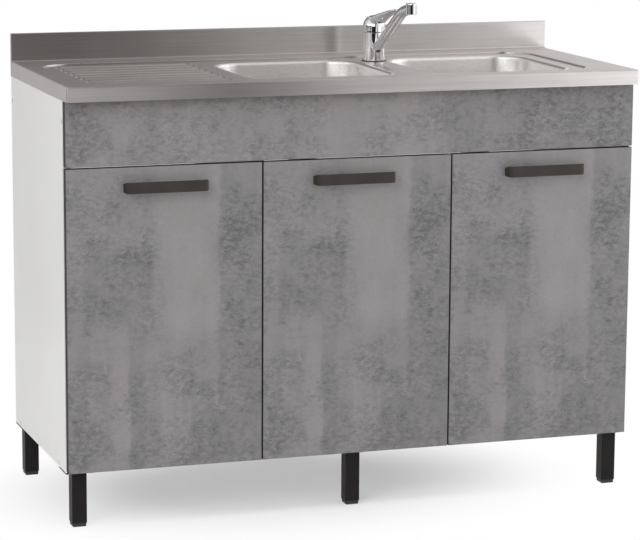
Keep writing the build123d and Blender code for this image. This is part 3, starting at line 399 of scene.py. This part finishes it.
def laminate(name, left, bottom, mottled, darker, pale):
    """The printed laminate; each place is (left, right, soft) across and the same upwards, in metres."""
    material, tree, surface = finish_named(name)
    where = place_on_object(tree, (-left, 0, -bottom))
    wander = node(tree, "TexNoise", {"Vector": where, "Scale": 13.0, "Detail": 5.0, "Roughness": 0.65})
    halfway = {0: wander.outputs["Color"], 1: (0.5, 0.5, 0.5)}
    centred = node(tree, "VectorMath", halfway, operation="SUBTRACT")
    wide = node(tree, "VectorMath", {0: centred.outputs[0], 1: WANDER}, operation="MULTIPLY")
    moved = node(tree, "VectorMath", {0: where, 1: wide.outputs[0]}, operation="ADD")
    split = node(tree, "SeparateXYZ", {0: moved.outputs[0]}).outputs

    def any_of(places):
        """1 inside any of the regions."""
        whole = 0.0
        for across, upwards in places:
            in_width, in_height = between(tree, split["X"], *across), between(tree, split["Z"], *upwards)
            whole = sums(tree, "MAXIMUM", sums(tree, "MULTIPLY", in_width, in_height), whole)
        return whole

    upright = node(tree, "Mapping", {0: where, 3: (1, 1, 0.18)}).outputs[0]
    lying = node(tree, "Mapping", {0: where, 3: (0.6, 1, 1)}).outputs[0]
    clouds = noise(tree, where, 12, 6, 0.62, 0.3)
    columns = noise(tree, upright, 34, 6, 0.66)
    specks = ramp(tree, noise(tree, lying, 120, 7, 0.82, 0.5), (0.42, 0.0), (0.58, 1.0))
    patchy = ramp(tree, noise(tree, where, 15, 6, 0.66), (0.38, 0.0), (0.60, 1.0))
    worn = sums(tree, "MULTIPLY", any_of(mottled), patchy)
    blotch = sums(tree, "MULTIPLY", specks, weighed(tree, 0.16, (worn, 0.84)))
    grain = noise(tree, lying, 230, 4, 0.8)
    facing = node(tree, "SeparateXYZ", {0: node(tree, "TexCoord").outputs["Normal"]}).outputs["Y"]
    # 1 on the boards' edges, where the dark edge colour with painted gap shade is mixed in.
    edges_with_gap_shade = sums(tree, "SUBTRACT", 1.0, node(tree, "Math", {0: facing}, operation="ABSOLUTE").outputs[0])
    dark = weighed(tree, -0.22, (clouds, 0.42), (columns, 0.42), (any_of(darker), 0.13),
                   (any_of(pale), -0.11), (blotch, 0.52), (grain, 0.40))
    tone = blend_colours(tree, edges_with_gap_shade, ramp(tree, dark, *TONES), BOARD_EDGE_AND_GAP_SHADE)
    tree.links.new(tone, surface.inputs["Base Color"])
    matt = ramp(tree, blotch, (0.0, 0.46), (1.0, 0.60))
    tree.links.new(sums(tree, "MAXIMUM", matt, edges_with_gap_shade), surface.inputs["Roughness"])
    bump(tree, surface, weighed(tree, 0.0, (grain, 0.5), (specks, 0.5)), 0.3, 0.0003)
    return material


MOTTLED = (((0.0, 0.16, 0.05), (0.30, 0.54, 0.08)), ((0.32, 0.40, 0.03), (0.12, 0.52, 0.06)),
           ((0.20, 0.36, 0.05), (0.0, 0.20, 0.06)), ((0.0, 0.20, 0.04), (0.0, 0.16, 0.08)))
DARKER = (((0.315, 0.42, 0.010), (-0.1, 0.60, 0.05)), ((0.128, 0.152, 0.012), (-0.1, 0.22, 0.16)),
          ((0.26, 0.31, 0.02), (0.02, 0.09, 0.03)), ((0.05, 0.16, 0.03), (0.33, 0.42, 0.04)))
PALE = (((0.175, 0.300, 0.012), (0.32, 0.70, 0.08)), ((0.090, 0.116, 0.010), (0.06, 0.16, 0.16)),
        ((0.195, 0.225, 0.012), (0.05, 0.14, 0.14)))
for door in ("left_door", "middle_door", "right_door"):
    low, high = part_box(door)
    wear(door, laminate(door + "_laminate", low[0], low[2], MOTTLED, DARKER, PALE))
low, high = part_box("false_front")
FRONT_MOTTLED = (((0.0, 0.30, 0.08), (-0.1, 0.30, 0.02)), ((0.36, 0.50, 0.06), (-0.1, 0.30, 0.02)),
                 ((0.78, 1.30, 0.10), (-0.1, 0.30, 0.02)), ((0.62, 0.74, 0.04), (-0.1, 0.07, 0.03)))
FRONT_DARKER = (((-0.1, 1.3, 0.02), (0.125, 0.20, 0.02)), ((0.84, 1.3, 0.12), (-0.1, 0.3, 0.02)))
FRONT_PALE = (((0.50, 0.76, 0.05), (-0.1, 0.11, 0.03)), ((0.20, 0.30, 0.03), (-0.1, 0.05, 0.03)))
front_laminate = laminate("false_front_laminate", low[0], low[2], FRONT_MOTTLED, FRONT_DARKER, FRONT_PALE)
wear("false_front", front_laminate)
print("laminate on", NODES_OF_SLOT["front_laminate"])

# %% [markdown]
# ## White melamine board
# The carcass is chipboard faced with white melamine. It is nearly plain, but a real sheet has a
# very fine pearl texture and is never one exact white.

# %% Melamine
material, tree, surface = finish_named("melamine", Roughness=0.42)
where = place_on_object(tree)
shade = ramp(tree, noise(tree, where, 3.5, 4), (0.35, (0.765, 0.755, 0.748)), (0.65, (0.80, 0.792, 0.786)))
tree.links.new(shade, surface.inputs["Base Color"])
bump(tree, surface, noise(tree, where, 900, 2), 0.2, 0.0001)
for name in NODES_OF_SLOT["white_board"]:
    wear(name, material)
print("melamine on", len(NODES_OF_SLOT["white_board"]), "boards")

# %% [markdown]
# ## Stainless steel
# The deck is pressed from a sheet with a satin grain along its length. The grain is finer than a
# pixel, so a stretched noise varies the shade and the roughness, and the gloss is anisotropic, which
# draws reflections out across the grain. Thin sheet is never quite flat, so a slow wave bends them.
# The ends of the drainer's ribs are rougher than the rest, and their colour is darker as painted shade
# that dims their highlights. The bowls have a shorter grain, their gloss is not anisotropic, and their
# lighter tint is painted light that brightens their insides.

# %% Stainless steel
RIB_END_PLACES, RIB_END_REACH = (-0.535, -0.245), 0.008
RIB_SPAN, RIB_HEIGHTS = (-0.190, 0.150), (0.8763, 0.8790)
# The rib ends' colour is painted shade, a darker steel that dims their highlights; their roughness is real.
RIB_END_PAINTED_SHADE, DULL_ROUGHNESS = (0.37, 0.348, 0.341, 1), 0.52
ACROSS_THE_GRAIN = {0: 0.0, 1: 0.7, 2: 0.7}
# The second tint, the bowls', is lighter than the deck's steel, as painted light that brightens the bowls'
# insides.
DECK_TINT, BOWL_TINT_WITH_PAINTED_LIGHT = (0.62, 0.584, 0.573), (0.83, 0.806, 0.796)


def rib_ends(tree):
    """1 on the sloped ends of the drainer's ribs and 0 elsewhere."""
    place = node(tree, "SeparateXYZ", {0: place_on_object(tree)}).outputs
    near = [between(tree, place["X"], x - RIB_END_REACH, x + RIB_END_REACH, 0.003) for x in RIB_END_PLACES]
    ends = sums(tree, "ADD", *near)
    raised = sums(tree, "MULTIPLY", ends, between(tree, place["Z"], *RIB_HEIGHTS, 0.0002))
    return sums(tree, "MULTIPLY", raised, between(tree, place["Y"], *RIB_SPAN, 0.002))


def steel(name, stretch, rough, tint, drawn_out=0.0, ribbed=False):
    """Satin steel with its grain along X where stretch says so; drawn_out spreads gloss across it."""
    material, tree, surface = finish_named(name, Metallic=1.0, Anisotropic=drawn_out)
    if drawn_out:
        across = node(tree, "CombineXYZ", ACROSS_THE_GRAIN).outputs[0]
        tree.links.new(across, surface.inputs["Tangent"])
    lines = noise(tree, place_on_object(tree, stretch=stretch), 260, 4, 0.7)
    broad = noise(tree, place_on_object(tree), 6, 4, 0.6)
    shine = weighed(tree, 0.0, (lines, 0.7), (broad, 0.3))
    colour = ramp(tree, shine, (0.35, tuple(c * 0.84 for c in tint)), (0.62, tint))
    roughness = ramp(tree, lines, (0.3, rough + 0.015), (0.7, rough - 0.01))
    if ribbed:
        # The rib ends get painted shade in their colour and a higher roughness.
        dull_and_shaded = rib_ends(tree)
        colour = blend_colours(tree, dull_and_shaded, colour, RIB_END_PAINTED_SHADE)
        roughness = sums(tree, "MAXIMUM", roughness, sums(tree, "MULTIPLY", dull_and_shaded, DULL_ROUGHNESS))
    tree.links.new(colour, surface.inputs["Base Color"])
    tree.links.new(roughness, surface.inputs["Roughness"])
    bump(tree, surface, noise(tree, place_on_object(tree), 7, 2), 1.0, 0.0004)
    return material


deck_steel = steel("deck_steel", (0.02, 1, 1), 0.295, DECK_TINT, drawn_out=1.0, ribbed=True)
bowl_steel = steel("bowl_steel", (0.3, 1, 1), 0.31, BOWL_TINT_WITH_PAINTED_LIGHT)
for name in ("sink_deck", "sink_edge"):
    wear(name, deck_steel)
for name in ("left_bowl", "right_bowl", "waste_flanges"):
    wear(name, bowl_steel)
print("steel on", NODES_OF_SLOT["stainless"])

# %% [markdown]
# ## Bowls
# A bowl is deep drawn: its mouth rolls over into a leaning wall, and the wall turns in a wide curve
# into the floor. The frame's bowl has the right size but a sharp mouth, so a surface with the roll
# takes its place. Boxes and bevels could give the same form, but a profile with rounded rectangles
# of changing size says it in a few lines, and Solidify then gives the sheet its thickness.

# %% Bowls
FLANGE, SHEET, MOUTH_CORNER, FLOOR_CORNER, WASTE_HOLE = 0.006, 0.001, 0.065, 0.036, 0.0204
ROLL, LEAN, FLOOR_ROUND = 0.007, math.radians(3.0), 0.042
LIFT, LIP, WALL = 0.0003, 0.0015, 0.0008


def drawn_bowl(low, high):
    """Rounded rectangles as rings. Downwards: a narrow lip, a quarter circle at the mouth, a line that
    leans by LEAN, an arc whose tangent turns from the line to level, and a floor that shrinks to the
    waste's circle."""
    middle = (low + high) / 2
    half = (high - low)[:2] / 2 - FLANGE
    top, floor_height = high[2] + SHEET + LIFT, low[2] + SHEET
    roll = np.linspace(0, np.pi / 2, 12)
    arc = np.linspace(LEAN, np.pi / 2, 16)
    straight = top - ROLL - floor_height - FLOOR_ROUND * (1 - math.sin(LEAN))
    wall_inset = LIFT + ROLL + straight * math.tan(LEAN) + FLOOR_ROUND * (math.cos(LEAN) - np.cos(arc))
    inset = np.concatenate([[-LIP], LIFT + ROLL * np.sin(roll), wall_inset])
    wall_height = top - ROLL - straight - FLOOR_ROUND * (np.sin(arc) - math.sin(LEAN))
    height = np.concatenate([[top], top - ROLL * (1 - np.cos(roll)), wall_height])
    shrink = np.linspace(0, 1, 12)[1:, None]
    sizes = np.concatenate([half - inset[:, None], (half - inset[-1]) * (1 - shrink) + WASTE_HOLE * shrink])
    share = np.clip(inset / inset[-1], 0, 1)
    corner = np.concatenate([MOUTH_CORNER + (FLOOR_CORNER - MOUTH_CORNER) * share,
                             FLOOR_CORNER + (WASTE_HOLE - FLOOR_CORNER) * shrink[:, 0]])[:, None]
    height = np.concatenate([height, np.full(len(shrink), floor_height)])[:, None]
    quarter = np.linspace(0, np.pi / 2, 25)
    turns = (np.arange(4)[:, None] * np.pi / 2 + quarter).ravel()
    side_x, side_y = (np.repeat(signs, len(quarter)) for signs in ([1, -1, -1, 1], [1, 1, -1, -1]))
    x = middle[0] + side_x * (sizes[:, :1] - corner) + corner * np.cos(turns)
    y = middle[1] + side_y * (sizes[:, 1:] - corner) + corner * np.sin(turns)
    return np.stack([x, y, height + 0 * x], -1)


for side in ("left", "right"):
    low, high = (np.array(corner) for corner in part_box(side + "_bowl"))
    rings = drawn_bowl(low, high)
    mesh = bpy.data.meshes.new(side + "_drawn_bowl")
    mesh.from_pydata(rings.reshape(-1, 3).tolist(), [], grid_quads(*rings.shape[:2]))
    if mesh.polygons[-1].normal.z < 0:
        mesh.flip_normals()
    mesh.polygons.foreach_set("use_smooth", np.ones(len(mesh.polygons), dtype=bool))
    mesh.materials.append(bowl_steel)
    bowl = bpy.data.objects.new(side + "_drawn_bowl", mesh)
    bpy.context.scene.collection.objects.link(bowl)
    sheet = bowl.modifiers.new("sheet", "SOLIDIFY")
    sheet.thickness, sheet.offset = WALL, -1.0
    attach(bowl, "cabinet")
    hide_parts(side + "_bowl")
    print(bowl.name, len(mesh.polygons), "faces, floor", rings[-1, 0, 2].round(4))

# %% [markdown]
# ## Chrome and plated steel
# The tap is polished chrome, which has next to no grain, so a faint smear in the roughness is all it
# gets. Screws and hinges are zinc plated, with a faint crystalline bloom that noise gives well.

# %% Chrome and plated steel
chrome, tree, surface = finish_named("chrome", Metallic=1.0, Base_Color=(0.72, 0.72, 0.73, 1))
smear = ramp(tree, noise(tree, place_on_object(tree), 60, 4), (0.3, 0.035), (0.75, 0.075))
tree.links.new(smear, surface.inputs["Roughness"])
for name in NODES_OF_SLOT["chrome"]:
    wear(name, chrome)

plated, tree, surface = finish_named("plated_steel", Metallic=1.0)
bloom = noise(tree, place_on_object(tree), 350, 4, 0.6)
zinc = ramp(tree, bloom, (0.3, (0.52, 0.52, 0.53)), (0.7, (0.64, 0.64, 0.63)))
tree.links.new(zinc, surface.inputs["Base Color"])
tree.links.new(ramp(tree, bloom, (0.3, 0.28), (0.7, 0.42)), surface.inputs["Roughness"])
for name in NODES_OF_SLOT["plated_steel"]:
    wear(name, plated)
print("chrome on", NODES_OF_SLOT["chrome"])

# %% [markdown]
# ## Coatings, plastics and rubber
# The legs are powder coated black, a soft gloss with an orange-peel texture, and the handles are a
# dark satin bronze-brown. The waste fittings are moulded, and the plugs are rubber. They differ only
# in shade, gloss and texture, so one function makes them all.

# %% Coatings, plastics and rubber
def plain_finish(name, dark, light, rough, texture_scale, texture, **constants):
    """A coating or moulding: two close shades in patches, and a fine texture of its own."""
    material, tree, surface = finish_named(name, **constants)
    where = place_on_object(tree)
    patches = noise(tree, where, 25.0, 5, 0.6)
    tree.links.new(ramp(tree, patches, (0.35, dark), (0.65, light)), surface.inputs["Base Color"])
    gloss = ramp(tree, patches, (0.3, rough - 0.04), (0.7, rough + 0.05))
    tree.links.new(gloss, surface.inputs["Roughness"])
    bump(tree, surface, noise(tree, where, texture_scale, 3), texture, 0.0002)
    return material


COATINGS = {
    "black_steel": plain_finish("powder_coat", (0.010, 0.008, 0.008), (0.016, 0.012, 0.012),
                                0.5, 700, 0.25, Specular_IOR_Level=0.15),
    "dark_handle": plain_finish("handle_coat", (0.030, 0.023, 0.0185), (0.040, 0.031, 0.026),
                                0.5, 1200, 0.12, Specular_IOR_Level=0.25),
    "black_plastic": plain_finish("black_plastic", (0.012, 0.011, 0.011), (0.020, 0.019, 0.019),
                                  0.5, 1500, 0.2),
    "white_plastic": plain_finish("white_plastic", (0.74, 0.74, 0.72), (0.80, 0.80, 0.78), 0.36, 900, 0.08),
    "plug_rubber": plain_finish("plug_rubber", (0.016, 0.016, 0.016), (0.028, 0.027, 0.026),
                                0.62, 1400, 0.3),
    "inner_plastic": plain_finish("inner_plastic", (0.52, 0.52, 0.50), (0.60, 0.60, 0.58), 0.4, 900, 0.1),
}
for slot, material in COATINGS.items():
    for name in NODES_OF_SLOT[slot]:
        wear(name, material)
print("coatings", list(COATINGS))

# %% [markdown]
# ## Bridge handles
# Each handle is a flat strip bent back at both ends to reach the door. Its feet grow thicker towards
# the door and their tops slope down to it. The strip's line is drawn by a direction that
# turns from straight out of the door to along it, and back at the other end.

# %% Handles
def bent_strip(low, high, bar=0.005, foot=0.007, bend=0.007, drop=0.0046):
    """Centre line by summing steps (cos, sin) of a direction that eases from -90 to 0 to +90 degrees;
    across it a rounded rectangle that grows thicker, and lower at its top, towards the feet."""
    length, depth, height = high - low
    steps = 260
    leg, side = depth - bar / 2, length - foot
    run = 2 * leg + side
    at = np.linspace(0, run, steps)
    first, second = (eased((at - place + bend) / (2 * bend)) for place in (leg, leg + side))
    turned = np.pi / 2 * (first + second - 1)
    ahead_x, ahead_y = np.cos(turned), np.sin(turned)
    step = np.diff(at, prepend=0)
    x, y = np.cumsum(ahead_x * step), np.cumsum(ahead_y * step)
    x = low[0] + foot / 2 + (x - x[0]) * side / (x[-1] - x[0])
    y = high[1] + (y - y[0]) * leg / -y.min()
    leg_share = 1 - eased(np.minimum(at, run - at) / leg)
    thick = bar + (foot - bar) * leg_share
    tall = height - drop * leg_share
    turns = np.linspace(0, 2 * np.pi, 40, endpoint=False)
    u, v = soft_square(turns, 9.0)
    middle = ((low[2] + high[2]) / 2 - drop / 2 * leg_share)[:, None]
    sideways = thick[:, None] / 2 * u
    px = x[:, None] - ahead_y[:, None] * sideways
    py = y[:, None] + ahead_x[:, None] * sideways
    pz = middle + tall[:, None] / 2 * v
    return np.stack([px, np.minimum(py, high[1]), pz], -1)


for side in ("left", "middle", "right"):
    low, high = (np.array(corner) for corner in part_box(side + "_handle"))
    closed_grid(side + "_bent_handle", bent_strip(low, high), side + "_door",
                side + "_handle", COATINGS["dark_handle"])

# %% [markdown]
# ## Lever
# The lever is cast in one piece: a dome over the cartridge that flows into a curved blade. The dome
# is a shell of revolution with a slanted edge, and the blade is a horn whose width, top and underside
# are functions of the distance from the tap's axis. Both ride on the lever's body. Their heights are
# measured from the ball's centre, which the lever turns and lifts about.

# %% Lever
TAP_TURN, BALL_HEIGHT = math.radians(7.6), 0.950
BLADE_ROOT, BLADE_REACH, TIP_ROUND, ROOT_TOP, INNER_BALL = 0.008, 0.101, 0.006, 0.0218, 0.0206
gasket_low, gasket_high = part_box("tap_gasket")
axis_x, axis_y = (gasket_low[0] + gasket_high[0]) / 2, (gasket_low[1] + gasket_high[1]) / 2


def on_tap(out, side, height):
    """Places (out along the blade, sideways, above the ball's centre) in the room's axes."""
    x = axis_x + out * math.sin(TAP_TURN) + side * math.cos(TAP_TURN)
    y = axis_y - out * math.cos(TAP_TURN) + side * math.sin(TAP_TURN)
    return np.stack(np.broadcast_arrays(x, y, BALL_HEIGHT + height), -1)


def dome(outer=0.023, inner=0.0202, back=-0.0025, front=-0.011):
    """A half ball of two skins; its edge slopes from the back's height to the front's."""
    turns = np.linspace(0, 2 * np.pi, 96, endpoint=False)
    rise = np.linspace(0, np.pi / 2 - 0.001, 24)[1:, None] + 0 * turns
    edge = (back + front) / 2 - (back - front) / 2 * np.cos(turns)
    skirt = edge * (1 - np.linspace(0, 1, 6)[:, None])
    skins = []
    for radius, order in ((inner, -1), (outer, 1)):
        out = np.concatenate([np.full(skirt.shape, radius), radius * np.cos(rise)])
        height = np.concatenate([skirt, radius * np.sin(rise)])
        skins.append(on_tap(out * np.cos(turns), out * np.sin(turns), height)[::order])
    return np.concatenate(skins)


def blade(tip_top=0.0432, tip_thick=0.0045):
    """Top and underside as curves of the distance out; half width from 20 mm to 10.5; rounded across."""
    tip_start = BLADE_REACH - TIP_ROUND
    round_end = tip_start + TIP_ROUND * np.sin(np.linspace(0, np.pi / 2, 14))[1:]
    out = np.concatenate([np.linspace(BLADE_ROOT, tip_start, 60), round_end])
    share = (out - BLADE_ROOT) / (BLADE_REACH - BLADE_ROOT)
    past = np.clip((out - tip_start) / TIP_ROUND, 0, 1)
    round_tip = np.sqrt(np.clip(1 - past ** 2, 0.003, 1))
    top = ROOT_TOP + (tip_top - ROOT_TOP) * (0.62 * share + 0.38 * np.sin(share * np.pi / 2))
    under_shell = np.sqrt(np.clip(INNER_BALL ** 2 - out ** 2, 0, None))
    under_free = 0.004 + (tip_top - tip_thick - 0.004) * (np.clip(out - 0.018, 0, None) / 0.083) ** 0.85
    low = np.minimum(np.maximum(under_shell + 0.0002, under_free), top - tip_thick)
    half = 0.0105 + 0.0100 * (1 - eased((out - 0.004) / 0.080))
    turns = np.linspace(0, 2 * np.pi, 48, endpoint=False)
    u, v = soft_square(turns, 2.8)
    middle, tall = (top + low) / 2, (top - low) / 2 * round_tip
    return on_tap(out[:, None] + 0 * u, (half * round_tip)[:, None] * u, middle[:, None] + tall[:, None] * v)


closed_grid("lever_dome", dome(), "lever", "lever", chrome)
closed_grid("lever_blade", blade(), "lever", None, chrome)

# %% [markdown]
# ## Raw chipboard
# The battens under the deck are raw chipboard, and the edge of the rear one shows from behind. Flat
# flakes of many shades are what a cell texture squeezed along one axis gives.

# %% Chipboard
material, tree, surface = finish_named("chipboard", Roughness=0.85)
flakes = node(tree, "TexVoronoi", {"Vector": place_on_object(tree, stretch=(1, 1, 2.5)), "Scale": 260.0})
shade = ramp(tree, flakes.outputs["Color"], (0.1, (0.36, 0.24, 0.13)), (0.9, (0.66, 0.50, 0.31)))
tree.links.new(shade, surface.inputs["Base Color"])
bump(tree, surface, flakes.outputs["Distance"], 0.4, 0.0004)
for name in NODES_OF_SLOT["batten_wood"]:
    wear(name, material)
print("chipboard on", NODES_OF_SLOT["batten_wood"])

# %% [markdown]
# ## View transform
# The render uses the Standard view transform.

# %% View transform
bpy.context.scene.view_settings.view_transform = "Standard"
